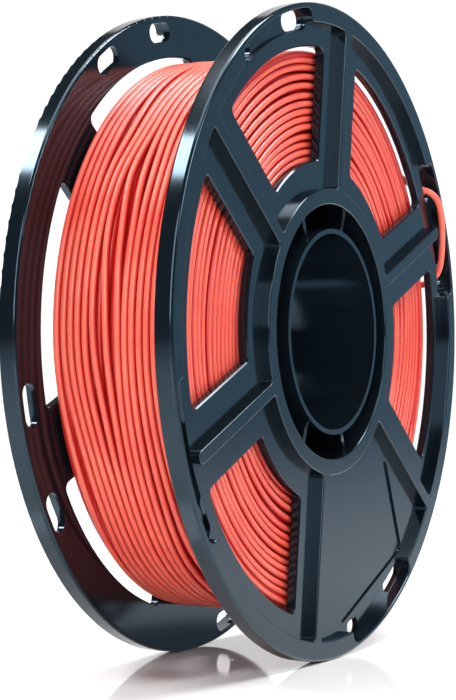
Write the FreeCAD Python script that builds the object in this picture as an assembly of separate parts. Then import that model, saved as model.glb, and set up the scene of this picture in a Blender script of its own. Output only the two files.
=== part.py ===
"""Filament spool: two moulded halves, the filament wound between them and its free end.

Millimetres. The spool's axis is Y, the front face looks along -Y and Z is up. The origin is the
centre of the bore, halfway between the two outer faces. Angles are seen from the front and turn
from +X towards +Z. Each half is first modelled with its axis along Z and its outer face up.
"""
import FreeCAD, Part
import math
import os

# Overall sizes
outer_radius = 80.0
overall_width = 44.0

# Flange: a thin web with a raised rim, raised spokes and a raised collar on its outer side
flange_thickness = 4.6
recess_depth = 2.2
rim_width = 4.8
rim_edge_round = 0.8
raised_edge_round = 0.35
recess_corner_radius = 1.0

# Spokes: the short ones stop just inside a station's pocket
spoke_count = 6
first_spoke_angle = 83.14
spoke_width = 3.2
short_spokes = (2, 5)
short_spoke_reach = 0.1

# Windows between the spokes, with the width of web left towards the drum and towards the rim's
# outer edge, and the one sector that stays closed and carries the label recess
closed_sector = 3
window_hub_gap = 7.4
window_rim_gap = 10.5
window_side_offset = 9.4
window_inner_corner = 1.0
window_outer_corner = 1.5
window_edge_chamfer = 0.3
label_length = 41.0
label_height = 26.0
label_inner_offset = 44.3
label_depth = 0.5
label_corner_radius = 1.5

# Stations where the filament's end is held: an arc pocket, set in from the outer edge, with a
# long slot and a short slot that leave a ledge on each side
station_count = 4
first_station_angle = 30.0
station_inset = 4.0
station_half_angle = 14.5
station_pocket_width = 5.2
station_pocket_depth = 1.0
slot_offset_angle = 10.0
slot_ledge = 0.2
long_slot_length = 11.0
short_slot_length = 6.2
rear_slot_length = 10.0
# The side of each station, counted by angle, on which the front flange has its long slot
long_slot_sides = (-1, -1, 1, 1)

# Hub
bore_radius = 24.0
bore_wall = 1.2
drum_outer_radius = 34.6
drum_wall = 3.4
collar_overhang = 0.5
rib_count = 8
first_rib_angle = 22.5
rib_thickness = 1.4
rib_recess = 3.0
rib_root = 0.3

# The joint between the halves: a spigot on the rear drum in a socket in the front drum
spigot_length = 4.0
spigot_clearance = 0.05
spigot_end_clearance = 0.2

# Filament
filament_diameter = 1.75
winding_depth = 32.5
winding_clearance = 0.1

# The free end, from the winding out through a slot and back in: angle from the first spoke,
# radius and distance along the axis
tail_route = (
    (-24.0, 68.2, -9.0),
    (-33.0, 68.7, -10.2),
    (-40.5, 70.3, -11.8),
    (-46.5, 72.8, -14.2),
    (-50.4, 75.0, -17.2),
    (-51.9, 76.3, -20.8),
    (-54.8, 76.8, -22.4),
    (-60.0, 76.7, -21.9),
    (-65.0, 76.5, -20.9),
    (-69.2, 76.3, -19.7),
    (-71.4, 75.8, -17.0),
    (-72.2, 75.3, -13.8),
)
arc_share = 0.45

# Levels along the axis of one half, measured out from the middle of the spool
outer_face = overall_width / 2
inner_face = outer_face - flange_thickness
web_face = outer_face - recess_depth
pocket_floor = web_face - station_pocket_depth

# Radii and angles that follow from the sizes above
rim_inner_radius = outer_radius - rim_width
drum_inner_radius = drum_outer_radius - drum_wall
collar_radius = drum_outer_radius + collar_overhang
spigot_radius = drum_outer_radius - drum_wall / 2
window_inner_radius = drum_outer_radius + window_hub_gap
window_outer_radius = outer_radius - window_rim_gap
station_radius = outer_radius - station_inset
slot_width = station_pocket_width - 2 * slot_ledge
short_spoke_end_radius = station_radius - station_pocket_width / 2 + short_spoke_reach
sector_angle = 360.0 / spoke_count

# A cutting tool reaches this far past the face that it cuts
cut_margin = 1.0
tolerance = 0.01


def polar(radius, angle, height=0.0):
    """The point at a radius and an angle in degrees."""
    turn = math.radians(angle)
    return FreeCAD.Vector(radius * math.cos(turn), radius * math.sin(turn), height)


def turned(shape, angle):
    """A copy of the shape turned about the spool's axis."""
    copy = shape.copy()
    copy.rotate(FreeCAD.Vector(0, 0, 0), FreeCAD.Vector(0, 0, 1), angle)
    return copy


def ring(inner, outer, bottom, top):
    """A flat ring between two radii and two levels."""
    base = FreeCAD.Vector(0, 0, bottom)
    solid = Part.makeCylinder(outer, top - bottom, base)
    return solid.cut(Part.makeCylinder(inner, top - bottom, base))


def bar(start, end, width, bottom, top):
    """A straight bar that runs outwards along +X from one radius to another."""
    corner = FreeCAD.Vector(start, -width / 2, bottom)
    return Part.makeBox(end - start, width, top - bottom, corner)


def plate(edges, bottom, top):
    """The closed outline of the edges, extruded between two levels."""
    solid = Part.Face(Part.Wire(edges)).extrude(FreeCAD.Vector(0, 0, top - bottom))
    solid.translate(FreeCAD.Vector(0, 0, bottom))
    return solid


def arc(first, middle, last):
    """An arc through three points."""
    return Part.Arc(first, middle, last).toShape()


def arc_slot(radius, width, length, angle, bottom, top):
    """A slot with round ends that follows an arc about the axis."""
    reach = math.degrees((length - width) / 2 / radius)
    outer = radius + width / 2
    inner = radius - width / 2
    tip = width / 2
    low = angle - reach
    high = angle + reach
    high_tip = polar(radius, high) + polar(tip, high + 90)
    low_tip = polar(radius, low) + polar(tip, low - 90)
    edges = [
        arc(polar(outer, low), polar(outer, angle), polar(outer, high)),
        arc(polar(outer, high), high_tip, polar(inner, high)),
        arc(polar(inner, high), polar(inner, angle), polar(inner, low)),
        arc(polar(inner, low), low_tip, polar(outer, low)),
    ]
    return plate(edges, bottom, top)


def edge_radius(edge):
    """The distance of an edge's middle from the axis."""
    middle = edge.valueAt((edge.FirstParameter + edge.LastParameter) / 2)
    return math.hypot(middle.x, middle.y)


def upright(edge):
    """Whether an edge runs parallel to the axis."""
    box = edge.BoundBox
    return box.ZLength > tolerance and box.XLength < tolerance and box.YLength < tolerance


def at_level(edge, level):
    """Whether an edge lies in the plane at a level."""
    box = edge.BoundBox
    return abs(box.ZMin - level) < tolerance and abs(box.ZMax - level) < tolerance


def upright_edges(solid, low, high):
    """The edges parallel to the axis whose distance from it is in a band."""
    return [edge for edge in solid.Edges if upright(edge) and low < edge_radius(edge) < high]


def spoke_offset(edge):
    """The distance of an edge's middle from the nearest spoke's centre line."""
    middle = edge.valueAt((edge.FirstParameter + edge.LastParameter) / 2)
    angle = math.degrees(math.atan2(middle.y, middle.x))
    away = angle - sector_angle * round(angle / sector_angle)
    return abs(edge_radius(edge) * math.sin(math.radians(away)))


def station_angles():
    """The angle of each filament station from the first spoke."""
    return [first_station_angle + 360.0 / station_count * index for index in range(station_count)]


def station_pocket(angle, bottom, top):
    """The tool for one station's arc pocket."""
    length = 2 * math.radians(station_half_angle) * station_radius
    return arc_slot(station_radius, station_pocket_width, length, angle, bottom, top)


def recess_tool():
    """What is cut from the outer face, down to the web, around the rim, spokes and collar."""
    top = outer_face + cut_margin
    tool = ring(collar_radius, rim_inner_radius, web_face, top)
    for index in range(spoke_count):
        if index in short_spokes:
            straight_end = short_spoke_end_radius - spoke_width / 2
            spoke = bar(0, straight_end, spoke_width, web_face, top)
            centre = FreeCAD.Vector(straight_end, 0, web_face)
            tip = Part.makeCylinder(spoke_width / 2, top - web_face, centre)
            spoke = spoke.fuse(tip)
        else:
            spoke = bar(0, outer_radius, spoke_width, web_face, top)
        tool = tool.cut(turned(spoke, index * sector_angle))
    for angle in station_angles():
        tool = tool.fuse(station_pocket(angle, web_face, top))
    rounded = []
    for solid in tool.removeSplitter().Solids:
        corners = upright_edges(solid, collar_radius - 0.5, collar_radius + 0.5)
        corners += upright_edges(solid, rim_inner_radius - 0.5, rim_inner_radius + 0.5)
        rounded.append(solid.makeFillet(recess_corner_radius, corners))
    return Part.makeCompound(rounded)


def window_tool(sector):
    """The tool for one window, with sides parallel to the spokes beside it."""
    middle = sector_angle / 2
    inner_turn = math.degrees(math.asin(window_side_offset / window_inner_radius))
    outer_turn = math.degrees(math.asin(window_side_offset / window_outer_radius))
    inner_low = polar(window_inner_radius, inner_turn)
    inner_high = polar(window_inner_radius, sector_angle - inner_turn)
    outer_low = polar(window_outer_radius, outer_turn)
    outer_high = polar(window_outer_radius, sector_angle - outer_turn)
    edges = [
        Part.LineSegment(inner_low, outer_low).toShape(),
        arc(outer_low, polar(window_outer_radius, middle), outer_high),
        Part.LineSegment(outer_high, inner_high).toShape(),
        arc(inner_high, polar(window_inner_radius, middle), inner_low),
    ]
    tool = plate(edges, inner_face - cut_margin, outer_face)
    split = (window_inner_radius + window_outer_radius) / 2
    tool = tool.makeFillet(window_outer_corner, upright_edges(tool, split, outer_radius))
    tool = tool.makeFillet(window_inner_corner, upright_edges(tool, 0, split))
    return turned(tool, sector * sector_angle)


def label_tool():
    """The tool for the bare label recess in the closed sector."""
    corner = FreeCAD.Vector(label_inner_offset, -label_length / 2, web_face - label_depth)
    tool = Part.makeBox(label_height, label_length, recess_depth, corner)
    tool = tool.makeFillet(label_corner_radius, upright_edges(tool, 0, outer_radius))
    return turned(tool, (closed_sector + 0.5) * sector_angle)


def slot_tools(low_lengths, high_lengths):
    """The tools for each station's two slots, given the lengths on the low and high side."""
    tools = []
    for angle, low_length, high_length in zip(station_angles(), low_lengths, high_lengths):
        for side, length in ((-1, low_length), (1, high_length)):
            place = angle + side * slot_offset_angle
            slot = arc_slot(station_radius, slot_width, length, place, inner_face - cut_margin, outer_face)
            tools.append(slot)
    return tools


def flange(slots):
    """One flange with its raised rim, spokes and collar, its windows, pockets and slots."""
    disc = Part.makeCylinder(outer_radius, flange_thickness, FreeCAD.Vector(0, 0, inner_face))
    rim_edges = [edge for edge in disc.Edges if at_level(edge, inner_face) or at_level(edge, outer_face)]
    disc = disc.makeFillet(rim_edge_round, rim_edges)
    disc = disc.cut(Part.makeCylinder(drum_inner_radius, overall_width))
    disc = disc.cut(recess_tool())
    for sector in range(spoke_count):
        if sector != closed_sector:
            disc = disc.cut(window_tool(sector))
    for angle in station_angles():
        disc = disc.cut(station_pocket(angle, pocket_floor, outer_face))
    disc = disc.cut(label_tool())
    for slot in slots:
        disc = disc.cut(slot)
    raised = [edge for edge in disc.Edges if at_level(edge, outer_face)]
    raised = [edge for edge in raised if edge_radius(edge) < outer_radius - rim_edge_round - tolerance]
    disc = disc.makeFillet(raised_edge_round, raised)
    window_edges = [edge for edge in disc.Edges if at_level(edge, web_face) or at_level(edge, inner_face)]
    window_edges = [edge for edge in window_edges if is_window_edge(edge)]
    return disc.makeChamfer(window_edge_chamfer, window_edges)


def is_window_edge(edge):
    """Whether an edge on the web belongs to a window's outline."""
    middle = edge.valueAt((edge.FirstParameter + edge.LastParameter) / 2)
    sector = math.degrees(math.atan2(middle.y, middle.x)) % 360 // sector_angle
    radius = edge_radius(edge)
    in_band = window_inner_radius - tolerance < radius < window_outer_radius + tolerance
    return in_band and sector != closed_sector and spoke_offset(edge) > window_side_offset - 1.0


def hub():
    """One half of the drum, of the bore tube and of the ribs that join them."""
    drum = ring(drum_inner_radius, drum_outer_radius, 0, inner_face)
    tube = ring(bore_radius, bore_radius + bore_wall, 0, outer_face)
    body = [tube]
    rib_start = bore_radius + bore_wall - rib_root
    rib_end = drum_inner_radius + rib_root
    for index in range(rib_count):
        rib = bar(rib_start, rib_end, rib_thickness, 0, outer_face - rib_recess)
        angle = first_rib_angle + index * 360.0 / rib_count - first_spoke_angle
        body.append(turned(rib, angle))
    return drum.fuse(body)


def half(slots):
    """One moulded half, before the joint is cut or added."""
    return flange(slots).fuse(hub()).removeSplitter()


def socket_tool():
    """The room for the other half's spigot."""
    depth = spigot_length + spigot_end_clearance
    return ring(drum_inner_radius - rib_root, spigot_radius + spigot_clearance, -cut_margin, depth)


def spigot():
    """The ring that reaches past the middle of the spool into the other half."""
    return ring(drum_inner_radius, spigot_radius - spigot_clearance, -spigot_length, rib_root)


def to_front(shape):
    """Put a half with its outer face up into its place at the front of the spool."""
    placed = turned(shape, first_spoke_angle)
    placed.rotate(FreeCAD.Vector(0, 0, 0), FreeCAD.Vector(1, 0, 0), 90)
    return placed


def to_rear(shape):
    """Put a half with its outer face up into its place at the rear, as a mirror of the front."""
    return to_front(shape).mirror(FreeCAD.Vector(0, 0, 0), FreeCAD.Vector(0, 1, 0))


def front_half():
    """The front moulding, with one long and one short slot at each station."""
    low_lengths = [long_slot_length if side < 0 else short_slot_length for side in long_slot_sides]
    high_lengths = [long_slot_length if side > 0 else short_slot_length for side in long_slot_sides]
    body = half(slot_tools(low_lengths, high_lengths))
    return to_front(body.cut(socket_tool()))


def rear_half():
    """The rear moulding, with two equal slots at each station."""
    lengths = [rear_slot_length] * station_count
    body = half(slot_tools(lengths, lengths))
    return to_rear(body.fuse(spigot()).removeSplitter())


def wound_filament():
    """The outer shape of the wound filament, between the drum and the two flanges."""
    inner = drum_outer_radius + winding_clearance
    reach = inner_face - winding_clearance
    return to_front(ring(inner, inner + winding_depth, -reach, reach))


def tail_points():
    """The free end's route in the spool's own frame."""
    points = []
    for angle, radius, along in tail_route:
        flat = polar(radius, angle + first_spoke_angle)
        points.append(FreeCAD.Vector(flat.x, along, flat.y))
    return points


def rounded_path(points):
    """Straight runs through the points, with an arc as large as its two runs allow at each turn."""
    edges = []
    radii = []
    start = points[0]
    for before, point, after in zip(points, points[1:], points[2:]):
        back = (before - point).normalize()
        onward = (after - point).normalize()
        setback = arc_share * min(before.distanceToPoint(point), after.distanceToPoint(point))
        half_turn = (math.pi - back.getAngle(onward)) / 2
        radius = setback / math.tan(half_turn)
        inward = (back + onward).normalize()
        middle = point + inward * (radius / math.cos(half_turn) - radius)
        arc_start = point + back * setback
        arc_end = point + onward * setback
        edges.append(Part.LineSegment(start, arc_start).toShape())
        edges.append(arc(arc_start, middle, arc_end))
        radii.append(radius)
        start = arc_end
    edges.append(Part.LineSegment(start, points[-1]).toShape())
    return Part.Wire(edges), radii


def filament_tail():
    """The free end of the filament: a tube along its route."""
    points = tail_points()
    path, radii = rounded_path(points)
    circle = Part.Circle(points[0], points[1] - points[0], filament_diameter / 2)
    tube = path.makePipeShell([Part.Wire(circle.toShape())], True, False)
    expected = math.pi * filament_diameter ** 2 / 4 * path.Length
    print("tail radii", [round(radius, 1) for radius in radii])
    print("tail length", round(path.Length, 2), "volume", round(tube.Volume, 2), "of", round(expected, 2))
    return tube


nodes = {
    "front_half": front_half,
    "rear_half": rear_half,
    "wound_filament": wound_filament,
    "filament_tail": filament_tail,
}

os.makedirs("parts", exist_ok=True)
for name, make in nodes.items():
    shape = make()
    print(name, "solids", len(shape.Solids), "valid", shape.isValid(), "volume", round(shape.Volume, 1))
    shape.exportStep("parts/" + name + ".step")
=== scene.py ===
"""The looks of the filament spool, in metres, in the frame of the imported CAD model."""
import math

import bpy
import numpy as np
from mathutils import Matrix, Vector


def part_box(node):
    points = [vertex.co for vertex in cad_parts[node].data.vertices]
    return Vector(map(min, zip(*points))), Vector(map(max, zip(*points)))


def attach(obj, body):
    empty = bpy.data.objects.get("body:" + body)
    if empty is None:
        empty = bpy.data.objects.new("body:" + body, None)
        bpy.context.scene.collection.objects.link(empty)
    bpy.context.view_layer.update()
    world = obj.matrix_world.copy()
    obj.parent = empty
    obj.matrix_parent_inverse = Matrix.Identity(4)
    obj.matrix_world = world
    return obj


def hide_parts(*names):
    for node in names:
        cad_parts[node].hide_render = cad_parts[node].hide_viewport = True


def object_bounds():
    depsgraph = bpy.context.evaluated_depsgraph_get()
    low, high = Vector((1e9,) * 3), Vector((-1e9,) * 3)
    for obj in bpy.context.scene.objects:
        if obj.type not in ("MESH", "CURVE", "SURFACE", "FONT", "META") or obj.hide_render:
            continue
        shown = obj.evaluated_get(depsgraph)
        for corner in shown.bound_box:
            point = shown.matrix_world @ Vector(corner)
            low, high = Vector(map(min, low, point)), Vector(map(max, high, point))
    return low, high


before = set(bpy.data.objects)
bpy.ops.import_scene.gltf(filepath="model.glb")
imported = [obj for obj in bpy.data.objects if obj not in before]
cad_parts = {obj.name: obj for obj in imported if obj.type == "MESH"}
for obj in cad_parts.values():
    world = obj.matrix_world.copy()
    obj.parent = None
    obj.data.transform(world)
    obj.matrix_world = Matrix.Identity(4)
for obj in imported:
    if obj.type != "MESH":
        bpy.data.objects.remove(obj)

CAD_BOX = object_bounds()

MM = 0.001

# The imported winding's corners and the front flange's, which the sizes below start from
WINDING_LOW, WINDING_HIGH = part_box("wound_filament")
FLANGE_LOW, FLANGE_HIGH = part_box("front_half")

# The camera stands in front and to the left, a little below the spool's axis. Its lens and its
# sensor are in millimetres.
CAMERA_AZIMUTH = math.radians(-62.58)
CAMERA_ELEVATION = math.radians(-1.18)
CAMERA_DISTANCE = 0.4968
CAMERA_LENS = 68.18
CAMERA_SHIFT = (-0.0380, -0.0249)
CAMERA_SENSOR = 24.0
CAMERA_NEAR = 0.01

# The studio: its dim surroundings, with a glow that is brightest in one direction, its floor and
# its backdrop
SURROUNDINGS = (0.035, 0.045, 0.055, 1.0)
GLOW = (0.28, 0.49, 0.66, 1.0)
GLOW_DIRECTION = (0.88, -0.42, -0.22)
GLOW_START = 0.35
FLOOR_REACH = 2.5
FLOOR_WHITENESS = 0.80
FLOOR_ROUGHNESS = 0.06
BACKDROP_DISTANCE = 2.0
BACKDROP_HALF_WIDTH = 1.4
BACKDROP_HEIGHT = 1.6
BACKDROP_GLOW = 1.1

# The lamps, which all face one point: name, place, size, watts
LAMP_TARGET = (0.0, 0.0, 0.0)
LAMPS = (
    ("key", (-0.46, 0.51, 0.81), (0.40, 0.20), 7.0),
    ("front", (0.10, -1.10, 0.60), (0.5, 0.5), 7.5),
    ("fill", (-1.10, -0.45, 0.40), (0.7, 0.7), 11.5),
    ("edge", (0.42, -0.42, 1.05), (0.45, 0.45), 13.0),
    ("top", (0.0, 0.0, 1.6), (1.6, 1.6), 38.0),
)

# The filament and the free end's route: the angle from the first spoke in degrees, the radius and
# the place along the axis in millimetres
FILAMENT_DIAMETER = 1.75 * MM
FIRST_SPOKE_ANGLE = 83.14
TAIL_ROUTE = (
    (-24.0, 68.2, -9.0),
    (-33.0, 68.7, -10.2),
    (-40.5, 70.3, -11.8),
    (-46.5, 72.8, -14.2),
    (-50.4, 75.0, -17.2),
    (-51.9, 76.3, -20.8),
    (-54.8, 76.8, -22.4),
    (-60.0, 76.7, -21.9),
    (-65.0, 76.5, -20.9),
    (-69.2, 76.3, -19.7),
    (-71.4, 75.8, -17.0),
    (-72.2, 75.3, -13.8),
)

# How finely the free end is drawn: its curve's order, its steps from point to point and round it
TAIL_ORDER = 3
TAIL_STEPS = 16
TAIL_BEVEL_STEPS = 6

# The winding: centre lines of its outermost, front and rear strands, its inner radius, and how
# closely the strands lie
WINDING_SWELL = 1.2 * MM
OUTER_RADIUS = WINDING_HIGH.z - FILAMENT_DIAMETER / 2 + WINDING_SWELL
FRONT_EDGE = WINDING_LOW.y + FILAMENT_DIAMETER / 2
REAR_EDGE = WINDING_HIGH.y - FILAMENT_DIAMETER / 2
DRUM_RADIUS = 34.7 * MM
STRAND_PITCH = 1.76 * MM
LAYER_PITCH = 1.60 * MM
OUTER_TURNS = 16
SIDE_TURNS = 16
STRAND_SIDES = 12
STEPS_PER_TURN = 168

# Where each turn steps over to the next one, out of sight behind a spoke
SEAM_ANGLE = 23.14

# How far the outermost turns keep from the flanges, and the outermost side turn from their crest
EDGE_SLOPE = 0.2 * MM
SIDE_INSET = 0.1 * MM

# The winding is a little larger to the right and below than on the left and above
UNEVENNESS = 0.9 * MM
UNEVEN_TO_RIGHT = 0.7
UNEVEN_TO_BOTTOM = 0.3

# Its foremost turns stand out on the right, over a flat-topped span of angles, less from the first
# of these turns to the second
WINDOW_SWELL = 1.5 * MM
SWELL_ANGLE = 45.0
SWELL_SPREAD = 64.0
SWELL_POWER = 4
SWELL_FADE = (1.0, 2.4)

# Slow waves of each layer's depth, by the number of waves in a turn
WAVE_ORDERS = (0.37, 0.71, 1.31, 2.23)
OUTER_WAVES = 0.35 * MM
UNDER_WAVES = 0.2 * MM
SIDE_WAVES = 0.75 * MM

# The gaps between turns: each has a least share of the slack, and takes more of it round some
# random angles, with a spread in degrees
OUTER_SHARE = 0.12
SIDE_SHARE = 0.03
GAPS_PER_TURN = 2
GAP_SPREADS = (16, 45)

# Seeds of the layers' random gaps; their waves take the next number
OUTER_SEED = 11
UNDER_SEED = 21
FRONT_SEED = 31
REAR_SEED = 41
FRONT_SECOND_SEED = 51
REAR_SECOND_SEED = 61

# The core under the strands: its distance from the drum, how many layers hide it, its steps
CORE_CLEARANCE = 0.3 * MM
CORE_LAYERS = 1.6
CORE_STEPS = 180

# The outermost turn that dips under the free end, where it does and how far
DIP_TURN = 3
DIP_ANGLE = 62.0
DIP_SPREAD = 26.0
DIP_DEPTH = 1.1 * MM

# The strand that rises to the free end: how far round it is followed, in degrees from the free
# end's start, how it settles beside the dip, and where it sinks in; depths in millimetres
LEAD_ANGLES = (-1.0, 52.0)
LEAD_STEPS = 54
LEAD_SETTLE_ANGLE = 9.0
LEAD_SETTLE_DEPTH = 0.5
LEAD_SETTLE_ALONG = 1.15
LEAD_SINK_START = 22.0
LEAD_SINK_ANGLE = 28.0
LEAD_SINK_DEPTH = 2.2

# The filament's colours: a pale and a deep tone that vary at random, a painted shade for the grooves
# between strands, and a painted shade for the layers underneath
FILAMENT_PALE = (0.76, 0.138, 0.088, 1.0)
FILAMENT_DEEP = (0.66, 0.070, 0.046, 1.0)
FILAMENT_GROOVE_PAINTED_SHADE = (0.42, 0.008, 0.006, 1.0)
FILAMENT_UNDER_PAINTED_SHADE = (0.50, 0.012, 0.009, 1.0)

# Over what part of a noise's range two shades blend
SHADE_SPAN = (0.3, 0.7)

# The filament's surface: the noise of its shades, by scale and detail, and its roughness
FILAMENT_SHADES = (55.0, 3.0)
FILAMENT_ROUGHNESS = (0.26, 0.42)
FILAMENT_IOR = 1.47

# The light that goes into the filament: its share, and how far red, green and blue reach in it
FILAMENT_SCATTER = 0.12
FILAMENT_SCATTER_SCALE = 0.4 * MM
FILAMENT_SCATTER_REACH = (1.0, 0.2, 0.12)

# The moulding's surface: flow marks and a grain, by scale and detail, and its roughness
PLASTIC_CLOUDS = (30.0, 3.0)
PLASTIC_GRAIN = (900.0, 2.0)
PLASTIC_GRAIN_HEIGHT = 0.02 * MM
PLASTIC_GRAIN_STRENGTH = 0.01
PLASTIC_ROUGHNESS = (0.08, 0.16)
PLASTIC_IOR = 1.50

# The moulding's colours, and the light that it mirrors
PLASTIC_DEEP = (0.0024, 0.0044, 0.0064, 1.0)
PLASTIC_PALE = (0.0040, 0.0070, 0.0100, 1.0)
PLASTIC_GLEAM = (0.50, 0.78, 1.0, 1.0)

# From how near a strand's crest the painted shade in the grooves between strands fades, and where it
# is gone
OUTER_GROOVE_PAINTED_SHADE = (0.28, 0.92)
SIDE_GROOVE_PAINTED_SHADE = (0.42, 0.99)

# The rounded outer edge of each flange: its rounding's centre, and its straight part's reach
FLANGE_THICKNESS = 4.6 * MM
EDGE_ROUNDING = 0.8 * MM
EDGE_ROUND_CENTRE = FLANGE_HIGH.z - EDGE_ROUNDING
EDGE_ROUND_SPAN = (EDGE_ROUNDING - FLANGE_LOW.y - FLANGE_THICKNESS, -FLANGE_LOW.y - EDGE_ROUNDING)

# Where turns of the outermost layer part: turn, angle, spread in degrees, weight
OUTER_GAPS = (
    (3, 66.0, 26.0, 12.0),
    (7, 150.0, 8.0, 6.0),
    (8, 162.0, 10.0, 10.0),
    (9, 178.0, 13.0, 10.0),
    (10, 196.0, 14.0, 6.0),
    (4, 226.0, 16.0, 6.0),
    (6, 212.0, 14.0, 4.0),
    (5, 246.0, 16.0, 5.0),
    (11, 134.0, 12.0, 4.0),
    (10, 116.0, 12.0, 5.0),
    (4, 128.0, 12.0, 3.0),
    (5, 102.0, 12.0, 4.0),
    (15, 211.0, 15.0, 14.0),
)


def point_at(radius, angle, along):
    """A point at a radius and an angle in radians about the spool's axis."""
    return (radius * math.cos(angle), along, radius * math.sin(angle))


def smooth_step(value):
    """Rises smoothly from 0 to 1 as the value does."""
    held = np.clip(value, 0.0, 1.0)
    return held * held * (3.0 - 2.0 * held)


# ---------------------------------------------------------------- camera, floor and lights

def make_camera():
    """The camera that took the photograph, level across and pitched by its elevation."""
    data = bpy.data.cameras.new("camera")
    data.sensor_fit = "VERTICAL"
    data.sensor_height = CAMERA_SENSOR
    data.lens = CAMERA_LENS
    data.shift_x, data.shift_y = CAMERA_SHIFT
    data.clip_start = CAMERA_NEAR
    camera = bpy.data.objects.new("camera", data)
    flat = CAMERA_DISTANCE * math.cos(CAMERA_ELEVATION)
    camera.location = (
        flat * math.sin(CAMERA_AZIMUTH),
        -flat * math.cos(CAMERA_AZIMUTH),
        CAMERA_DISTANCE * math.sin(CAMERA_ELEVATION),
    )
    camera.rotation_euler = (math.pi / 2 - CAMERA_ELEVATION, 0.0, CAMERA_AZIMUTH)
    bpy.context.scene.collection.objects.link(camera)
    bpy.context.scene.camera = camera


def make_light(name, place, size, power):
    """A soft rectangular lamp that faces the lamps' target."""
    data = bpy.data.lights.new(name, "AREA")
    data.shape = "RECTANGLE"
    data.size, data.size_y = size
    data.energy = power
    lamp = bpy.data.objects.new(name, data)
    lamp.location = place
    x, y, z = (target - start for target, start in zip(LAMP_TARGET, place))
    pitch = math.atan2(z, math.hypot(x, y))
    heading = math.atan2(y, x)
    lamp.rotation_euler = (math.pi / 2 + pitch, 0.0, heading - math.pi / 2)
    bpy.context.scene.collection.objects.link(lamp)


def make_world():
    """Dark surroundings with a soft blue-grey glow, low in front and to the right."""
    world = bpy.data.worlds.new("studio")
    world.use_nodes = True
    tree = world.node_tree
    background = tree.nodes["Background"]
    background.inputs["Strength"].default_value = 1.0
    place = add_node(tree, "ShaderNodeTexCoord")
    nearness = add_node(tree, "ShaderNodeVectorMath", operation="DOT_PRODUCT")
    nearness.inputs[1].default_value = GLOW_DIRECTION
    tree.links.new(place.outputs["Generated"], nearness.inputs[0])
    shade = blend_colours(tree, nearness.outputs["Value"], (GLOW_START, 1.0), (SURROUNDINGS, GLOW))
    tree.links.new(shade, background.inputs["Color"])
    bpy.context.scene.world = world


def new_panel(name, corners, material):
    """A flat four-cornered part of the studio."""
    mesh = bpy.data.meshes.new(name)
    mesh.from_pydata(corners, [], [(0, 1, 2, 3)])
    mesh.materials.append(material)
    panel = bpy.data.objects.new(name, mesh)
    bpy.context.scene.collection.objects.link(panel)


def white_material(name, glow, base, roughness):
    """A plain grey to white, which may glow."""
    material = new_material(name)
    shader = material.node_tree.nodes["Principled BSDF"]
    shader.inputs["Base Color"].default_value = (base, base, base, 1.0)
    shader.inputs["Roughness"].default_value = roughness
    shader.inputs["Emission Color"].default_value = (1.0, 1.0, 1.0, 1.0)
    shader.inputs["Emission Strength"].default_value = glow
    return material


def make_floor():
    """A pale floor that the rims stand on."""
    level = CAD_BOX[0][2]
    signs = ((-1, -1), (1, -1), (1, 1), (-1, 1))
    corners = [(x * FLOOR_REACH, y * FLOOR_REACH, level) for x, y in signs]
    new_panel("floor", corners, white_material("floor", 0.0, FLOOR_WHITENESS, FLOOR_ROUGHNESS))


def make_backdrop():
    """A white screen behind the spool, square to the camera's view."""
    ahead = np.array([-math.sin(CAMERA_AZIMUTH), math.cos(CAMERA_AZIMUTH), 0.0])
    across = np.array([ahead[1], -ahead[0], 0.0])
    level = CAD_BOX[0][2]
    low = np.array([0.0, 0.0, level])
    high = np.array([0.0, 0.0, level + BACKDROP_HEIGHT])
    left = ahead * BACKDROP_DISTANCE - across * BACKDROP_HALF_WIDTH
    right = ahead * BACKDROP_DISTANCE + across * BACKDROP_HALF_WIDTH
    corners = [tuple(left + low), tuple(right + low), tuple(right + high), tuple(left + high)]
    new_panel("backdrop", corners, white_material("backdrop", BACKDROP_GLOW, 0.0, 1.0))


def make_stage():
    """All that surrounds the spool."""
    make_world()
    make_floor()
    make_backdrop()
    for lamp in LAMPS:
        make_light(*lamp)


# ---------------------------------------------------------------- materials

def new_material(name):
    """A material with its standard shader."""
    material = bpy.data.materials.new(name)
    material.use_nodes = True
    return material


def add_node(tree, kind, **settings):
    """A new node of a kind, with its settings."""
    node = tree.nodes.new(kind)
    for name, value in settings.items():
        setattr(node, name, value)
    return node


def blend_colours(tree, value, positions, colours):
    """The first colour up to the first position, the second from the second on, a blend between."""
    ramp = add_node(tree, "ShaderNodeValToRGB")
    for element, position, colour in zip(ramp.color_ramp.elements, positions, colours):
        element.position = position
        element.color = colour
    tree.links.new(value, ramp.inputs["Fac"])
    return ramp.outputs["Color"]


def noise_at(tree, place, scale, detail):
    """Smooth random values from 0 to 1 over an object."""
    noise = add_node(tree, "ShaderNodeTexNoise")
    noise.inputs["Scale"].default_value = scale
    noise.inputs["Detail"].default_value = detail
    tree.links.new(place, noise.inputs["Vector"])
    return noise.outputs["Fac"]


def spread_value(tree, value, ends):
    """A value from 0 to 1, spread between two ends."""
    spread = add_node(tree, "ShaderNodeMapRange")
    spread.inputs["To Min"].default_value, spread.inputs["To Max"].default_value = ends
    tree.links.new(value, spread.inputs["Value"])
    return spread.outputs["Result"]


def vector_math(tree, operation, first, second=None):
    """One vector step of a material; a tuple is a constant."""
    node = add_node(tree, "ShaderNodeVectorMath", operation=operation)
    for socket, value in zip(node.inputs, (first, second)):
        if isinstance(value, tuple):
            socket.default_value = value
        elif value is not None:
            tree.links.new(value, socket)
    return node.outputs["Value" if operation == "LENGTH" else "Vector"]


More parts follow.
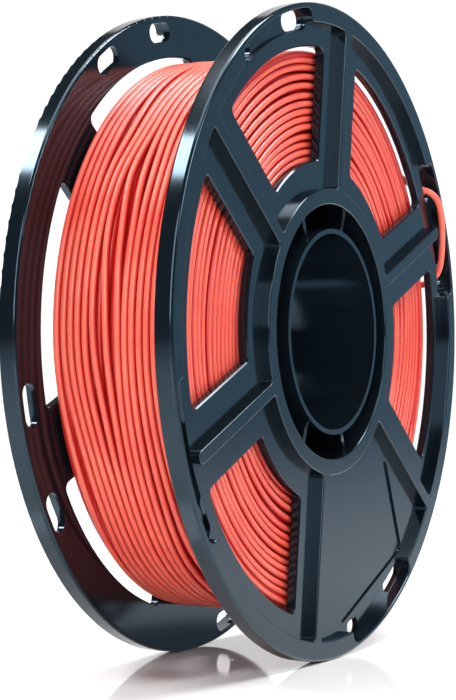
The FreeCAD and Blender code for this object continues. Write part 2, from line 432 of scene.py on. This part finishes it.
def rim_normal(tree, place):
    """The flanges' normal: true to the rounded edge outside its inner radius, the mesh's elsewhere.

    Outwards from a ring at the centre of the rounding, which spans the rim's straight part. On the
    rear flange that part runs on to the outer face, where the mesh is too uneven for a fine gleam.
    """
    low, high = EDGE_ROUND_SPAN
    from_axis = vector_math(tree, "MULTIPLY", place, (1.0, 0.0, 1.0))
    along = vector_math(tree, "MULTIPLY", place, (0.0, 1.0, 0.0))
    distance = vector_math(tree, "LENGTH", from_axis)
    direction = vector_math(tree, "NORMALIZE", from_axis)
    ring_point = vector_math(tree, "SCALE", direction)
    ring_point.node.inputs["Scale"].default_value = EDGE_ROUND_CENTRE
    held = vector_math(tree, "MAXIMUM", along, (0.0, -high, 0.0))
    mirrored = vector_math(tree, "ABSOLUTE", held)
    held = vector_math(tree, "MAXIMUM", mirrored, (0.0, low, 0.0))
    side = vector_math(tree, "SIGN", along)
    ring_along = vector_math(tree, "MULTIPLY", held, side)
    centre = vector_math(tree, "ADD", ring_point, ring_along)
    outward = vector_math(tree, "NORMALIZE", vector_math(tree, "SUBTRACT", place, centre))
    outside = add_node(tree, "ShaderNodeMath", operation="GREATER_THAN")
    outside.inputs[1].default_value = EDGE_ROUND_CENTRE
    tree.links.new(distance, outside.inputs[0])
    choice = add_node(tree, "ShaderNodeMix", data_type="VECTOR")
    tree.links.new(outside.outputs["Value"], choice.inputs["Factor"])
    geometry = add_node(tree, "ShaderNodeNewGeometry")
    tree.links.new(geometry.outputs["Normal"], choice.inputs["A"])
    tree.links.new(outward, choice.inputs["B"])
    return choice.outputs["Result"]


def plastic_material():
    """Polished dark moulding: faint flow marks in its gloss and a very fine grain."""
    material = new_material("spool_plastic")
    tree = material.node_tree
    shader = tree.nodes["Principled BSDF"]
    shader.inputs["IOR"].default_value = PLASTIC_IOR
    shader.inputs["Specular Tint"].default_value = PLASTIC_GLEAM
    place = add_node(tree, "ShaderNodeTexCoord").outputs["Object"]
    clouds = noise_at(tree, place, *PLASTIC_CLOUDS)
    colour = blend_colours(tree, clouds, SHADE_SPAN, (PLASTIC_DEEP, PLASTIC_PALE))
    tree.links.new(colour, shader.inputs["Base Color"])
    tree.links.new(spread_value(tree, clouds, PLASTIC_ROUGHNESS), shader.inputs["Roughness"])
    bump = add_node(tree, "ShaderNodeBump")
    bump.inputs["Strength"].default_value = PLASTIC_GRAIN_STRENGTH
    bump.inputs["Distance"].default_value = PLASTIC_GRAIN_HEIGHT
    tree.links.new(noise_at(tree, place, *PLASTIC_GRAIN), bump.inputs["Height"])
    tree.links.new(rim_normal(tree, place), bump.inputs["Normal"])
    tree.links.new(bump.outputs["Normal"], shader.inputs["Normal"])
    return material


def filament_material(name, groove, pale=FILAMENT_PALE, deep=FILAMENT_DEEP):
    """Extruded coral filament: satin, with slow random changes of tone, and deeper red painted into
    the grooves as shade.

    Groove says from which crest values the painted groove shade fades; None leaves it out.
    """
    material = new_material(name)
    tree = material.node_tree
    shader = tree.nodes["Principled BSDF"]
    shader.inputs["IOR"].default_value = FILAMENT_IOR
    shader.inputs["Subsurface Weight"].default_value = FILAMENT_SCATTER
    shader.inputs["Subsurface Scale"].default_value = FILAMENT_SCATTER_SCALE
    shader.inputs["Subsurface Radius"].default_value = FILAMENT_SCATTER_REACH
    place = add_node(tree, "ShaderNodeTexCoord").outputs["Object"]
    shades = noise_at(tree, place, *FILAMENT_SHADES)
    mix = add_node(tree, "ShaderNodeMix", data_type="RGBA")
    # Painted shade: the grooves between strands and the flanks turned from each crest are coloured a
    # darker red
    mix.inputs["A"].default_value = FILAMENT_GROOVE_PAINTED_SHADE
    tree.links.new(blend_colours(tree, shades, SHADE_SPAN, (deep, pale)), mix.inputs["B"])
    if groove:
        crest = add_node(tree, "ShaderNodeAttribute", attribute_name="crest")
        depth = add_node(tree, "ShaderNodeMapRange")
        depth.inputs["From Min"].default_value, depth.inputs["From Max"].default_value = groove
        tree.links.new(crest.outputs["Fac"], depth.inputs["Value"])
        tree.links.new(depth.outputs["Result"], mix.inputs["Factor"])
    else:
        mix.inputs["Factor"].default_value = 1.0
    tree.links.new(mix.outputs["Result"], shader.inputs["Base Color"])
    tree.links.new(spread_value(tree, shades, FILAMENT_ROUGHNESS), shader.inputs["Roughness"])
    return material


# ---------------------------------------------------------------- filament

def new_piece(name, verts, faces, material, smooth=True):
    """A mesh of filament."""
    mesh = bpy.data.meshes.new(name)
    mesh.from_pydata(verts, [], faces)
    mesh.materials.append(material)
    if smooth:
        mesh.shade_smooth()
    piece = bpy.data.objects.new(name, mesh)
    bpy.context.scene.collection.objects.link(piece)
    return piece


def tube_faces(count):
    """The faces of a tube of so many rings of STRAND_SIDES points, closed at both ends."""
    row = np.arange(STRAND_SIDES)
    following = (row + 1) % STRAND_SIDES
    here = (np.arange(count - 1) * STRAND_SIDES)[:, None]
    there = here + STRAND_SIDES
    quads = np.stack([here + row, there + row, there + following, here + following], 2)
    start = row.tolist()
    end = (row[::-1] + (count - 1) * STRAND_SIDES).tolist()
    return quads.reshape(-1, 4).tolist() + [start, end]


def strand_piece(name, path, material, facing=0):
    """A strand round the axis. It keeps how far each point of it is from the groove beside it, which
    places the painted shade in the grooves.

    Its crest faces along the axis, by the sign of facing, or outwards when that is 0; the painted
    shade darkens the strand away from its crest.
    """
    angles, radii, alongs = path
    cosines, sines = np.cos(angles), np.sin(angles)
    centre = np.stack([radii * cosines, alongs, radii * sines], axis=1)
    forward = np.gradient(centre, axis=0)
    forward /= np.linalg.norm(forward, axis=1)[:, None]
    outward = np.stack([cosines, np.zeros_like(cosines), sines], axis=1)
    outward -= forward * np.sum(outward * forward, axis=1)[:, None]
    outward /= np.linalg.norm(outward, axis=1)[:, None]
    sideways = np.cross(forward, outward)
    turn = np.linspace(0.0, 2.0 * math.pi, STRAND_SIDES, endpoint=False)
    ring = outward[:, None, :] * np.cos(turn)[None, :, None]
    ring = ring + sideways[:, None, :] * np.sin(turn)[None, :, None]
    verts = (centre[:, None, :] + ring * FILAMENT_DIAMETER / 2).reshape(-1, 3)
    count = len(angles)
    piece = new_piece(name, verts.tolist(), tube_faces(count), material)
    # The crest values set where the painted groove shade falls
    outermost = np.broadcast_to(np.cos(turn), (count, STRAND_SIDES))
    crest = ring[:, :, 1] * facing if facing else outermost
    layer = piece.data.attributes.new("crest", "FLOAT", "POINT")
    layer.data.foreach_set("value", crest.astype(np.float32).ravel())
    return piece


def bump_at(angles, centre, spread, power=2):
    """A smooth bump over the angles in degrees, 1 at its centre. A higher power has a flatter top."""
    away = (np.degrees(angles) - centre + 180.0) % 360.0 - 180.0
    return np.exp(-((away / spread) ** power))


def loose_turns(turns, low, high, seed, gaps=(), least_share=OUTER_SHARE):
    """Places across the turns of one layer, side by side, with the slack shared out between them.

    The share of each gap between two turns changes with the angle, so that turns part and close up.
    """
    random = np.random.default_rng(seed)
    part = np.linspace(0.0, 1.0, STEPS_PER_TURN + 1)
    angles = 2.0 * math.pi * part + math.radians(SEAM_ANGLE)
    shares = np.full((turns, STEPS_PER_TURN + 1), least_share)
    for share in shares:
        for _ in range(GAPS_PER_TURN):
            weight = random.uniform(0.0, 1.0)
            share += weight * bump_at(angles, random.uniform(0, 360), random.uniform(*GAP_SPREADS))
    for turn, centre, spread, weight in gaps:
        shares[turn] += weight * bump_at(angles, centre, spread)
    slack = (high - low) - turns * STRAND_PITCH
    gap = slack * shares / shares.sum(axis=0)
    before = np.cumsum(gap, axis=0) - gap
    index = np.arange(turns)[:, None]
    places = low + (index + part) * STRAND_PITCH + before + part * gap
    path_angles = (angles + index * 2.0 * math.pi)[:, :-1].ravel()
    return path_angles, places[:, :-1].ravel()


def slow_waves(angles, size, seed):
    """Slow, smooth changes along a strand, between 0 and the size."""
    random = np.random.default_rng(seed)
    total = np.zeros_like(angles)
    for order in WAVE_ORDERS:
        total += np.sin(angles * order + random.uniform(0.0, 2.0 * math.pi))
    return size * (0.5 + total / (2 * len(WAVE_ORDERS)))


def wound_radius(angles):
    """The outermost strand's radius."""
    lean = UNEVEN_TO_RIGHT * np.cos(angles) - UNEVEN_TO_BOTTOM * np.sin(angles)
    return OUTER_RADIUS + UNEVENNESS * lean


def window_swell(angles):
    """How far the foremost turns stand out where they fill the windows on the right."""
    return WINDOW_SWELL * bump_at(angles, SWELL_ANGLE, SWELL_SPREAD, SWELL_POWER)


def outer_turns():
    """The outermost layer. It dips under the free end where that leaves the winding."""
    front = FRONT_EDGE + EDGE_SLOPE
    rear = REAR_EDGE - EDGE_SLOPE
    angles, alongs = loose_turns(OUTER_TURNS, front, rear, OUTER_SEED, OUTER_GAPS)
    radii = wound_radius(angles) - slow_waves(angles, OUTER_WAVES, OUTER_SEED + 1)
    turn = (angles - angles[0]) / (2.0 * math.pi)
    dips = (turn > DIP_TURN) & (turn < DIP_TURN + 1)
    radii = radii - np.where(dips, DIP_DEPTH * bump_at(angles, DIP_ANGLE, DIP_SPREAD), 0.0)
    full, none = SWELL_FADE
    radii = radii + window_swell(angles) * smooth_step((none - turn) / (none - full))
    return angles, radii, alongs


def under_turns():
    """The layer below the outermost, wound the other way."""
    front = FRONT_EDGE + EDGE_SLOPE
    rear = REAR_EDGE - EDGE_SLOPE
    angles, alongs = loose_turns(OUTER_TURNS, front, rear, UNDER_SEED)
    radii = wound_radius(angles) - LAYER_PITCH - slow_waves(angles, UNDER_WAVES, UNDER_SEED + 1)
    return angles, radii, alongs[::-1]


def side_turns(edge, inward, seed, shift=0.0):
    """The turns that lie against one flange, from the drum out to the outermost layer.

    They lie a little further from the flange the further out they are. Inward is 1 at the front and
    -1 at the rear, and shift moves the turns out to lie in the grooves of the row before them.
    """
    low = DRUM_RADIUS + FILAMENT_DIAMETER / 2 + shift
    high = OUTER_RADIUS - SIDE_INSET
    angles, radii = loose_turns(SIDE_TURNS, low, high, seed, least_share=SIDE_SHARE)
    reach = (radii - low) / (OUTER_RADIUS - low)
    swell = window_swell(angles) if inward > 0 else 0.0
    radii = radii + reach * (wound_radius(angles) - OUTER_RADIUS + swell)
    alongs = edge + inward * (reach * EDGE_SLOPE + slow_waves(angles, SIDE_WAVES, seed + 1))
    return angles, radii, alongs


def lead_out():
    """The strand that rises out of the winding and goes on as the free end."""
    turn, radius, along = TAIL_ROUTE[0]
    start = turn + FIRST_SPOKE_ANGLE
    away = np.linspace(*LEAD_ANGLES, LEAD_STEPS)
    settle = 1.0 - np.exp(-away / LEAD_SETTLE_ANGLE)
    sink = smooth_step((away - LEAD_SINK_START) / LEAD_SINK_ANGLE)
    radii = radius - LEAD_SETTLE_DEPTH * settle - LEAD_SINK_DEPTH * sink
    alongs = along + LEAD_SETTLE_ALONG * settle
    return np.radians(start + away), radii * MM, alongs * MM


def core_ring(material):
    """The hidden turns inside the winding: one ring under the strands that show."""
    cover = CORE_LAYERS * LAYER_PITCH
    inner = DRUM_RADIUS + CORE_CLEARANCE
    outer = OUTER_RADIUS - cover
    front = FRONT_EDGE + cover
    rear = REAR_EDGE - cover
    profile = [(inner, front), (outer, front), (outer, rear), (inner, rear)]
    sides = len(profile)
    verts, faces = [], []
    for step in range(CORE_STEPS):
        angle = 2.0 * math.pi * step / CORE_STEPS
        verts += [point_at(radius, angle, along) for radius, along in profile]
        here = sides * step
        there = sides * ((step + 1) % CORE_STEPS)
        for side in range(sides):
            following = (side + 1) % sides
            faces.append((here + side, here + following, there + following, there + side))
    return new_piece("winding_core", verts, faces, material, smooth=False)


def make_winding():
    """The strands that show and the core under them, all in the place of the CAD's solid ring."""
    # Painted shade darkens the wound strands towards their grooves, by their crest values
    material = filament_material("wound_filament", OUTER_GROOVE_PAINTED_SHADE)
    side_material = filament_material("side_filament", SIDE_GROOVE_PAINTED_SHADE)
    # Painted shade: a darker red copy of the filament for the layer under the outermost, the second
    # side rows and the core
    under_painted_shade_material = filament_material("under_filament_painted_shade", None, FILAMENT_UNDER_PAINTED_SHADE, FILAMENT_GROOVE_PAINTED_SHADE)
    half_pitch = STRAND_PITCH / 2
    front_edge = side_turns(FRONT_EDGE, 1, FRONT_SEED)
    rear_edge = side_turns(REAR_EDGE, -1, REAR_SEED)
    front_second = side_turns(FRONT_EDGE + LAYER_PITCH, 1, FRONT_SECOND_SEED, half_pitch)
    rear_second = side_turns(REAR_EDGE - LAYER_PITCH, -1, REAR_SECOND_SEED, half_pitch)
    pieces = [
        strand_piece("outer_turns", outer_turns(), material),
        strand_piece("under_turns", under_turns(), under_painted_shade_material),
        strand_piece("front_edge_turns", front_edge, side_material, -1),
        strand_piece("rear_edge_turns", rear_edge, side_material, 1),
        strand_piece("front_second_turns", front_second, under_painted_shade_material, -1),
        strand_piece("rear_second_turns", rear_second, under_painted_shade_material, 1),
        strand_piece("lead_out", lead_out(), material),
        core_ring(under_painted_shade_material),
    ]
    for piece in pieces:
        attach(piece, "root")
        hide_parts("wound_filament")


def route_point(turn, radius, along):
    """One point of the free end's route, in metres."""
    return point_at(radius * MM, math.radians(turn + FIRST_SPOKE_ANGLE), along * MM)


def make_tail(material):
    """The free end: one strand that leaves the winding, loops over the flange and goes back in."""
    data = bpy.data.curves.new("tail_strand", "CURVE")
    data.dimensions = "3D"
    data.bevel_depth = FILAMENT_DIAMETER / 2
    data.bevel_resolution = TAIL_BEVEL_STEPS
    data.use_fill_caps = True
    data.resolution_u = TAIL_STEPS
    spline = data.splines.new("NURBS")
    spline.points.add(len(TAIL_ROUTE) - 1)
    for point, stop in zip(spline.points, TAIL_ROUTE):
        point.co = (*route_point(*stop), 1.0)
    spline.order_u = TAIL_ORDER
    spline.use_endpoint_u = True
    data.materials.append(material)
    tail = bpy.data.objects.new("tail_strand", data)
    bpy.context.scene.collection.objects.link(tail)
    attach(tail, "root")
    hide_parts("filament_tail")


def finish_moulding(material):
    """Puts the plastic on both CAD halves."""
    for name in ("front_half", "rear_half"):
        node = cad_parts[name]
        node.data.materials.clear()
        node.data.materials.append(material)


bpy.context.scene.view_settings.view_transform = "Standard"
make_camera()
make_tail(filament_material("loose_filament", None))
make_winding()
finish_moulding(plastic_material())
make_stage()
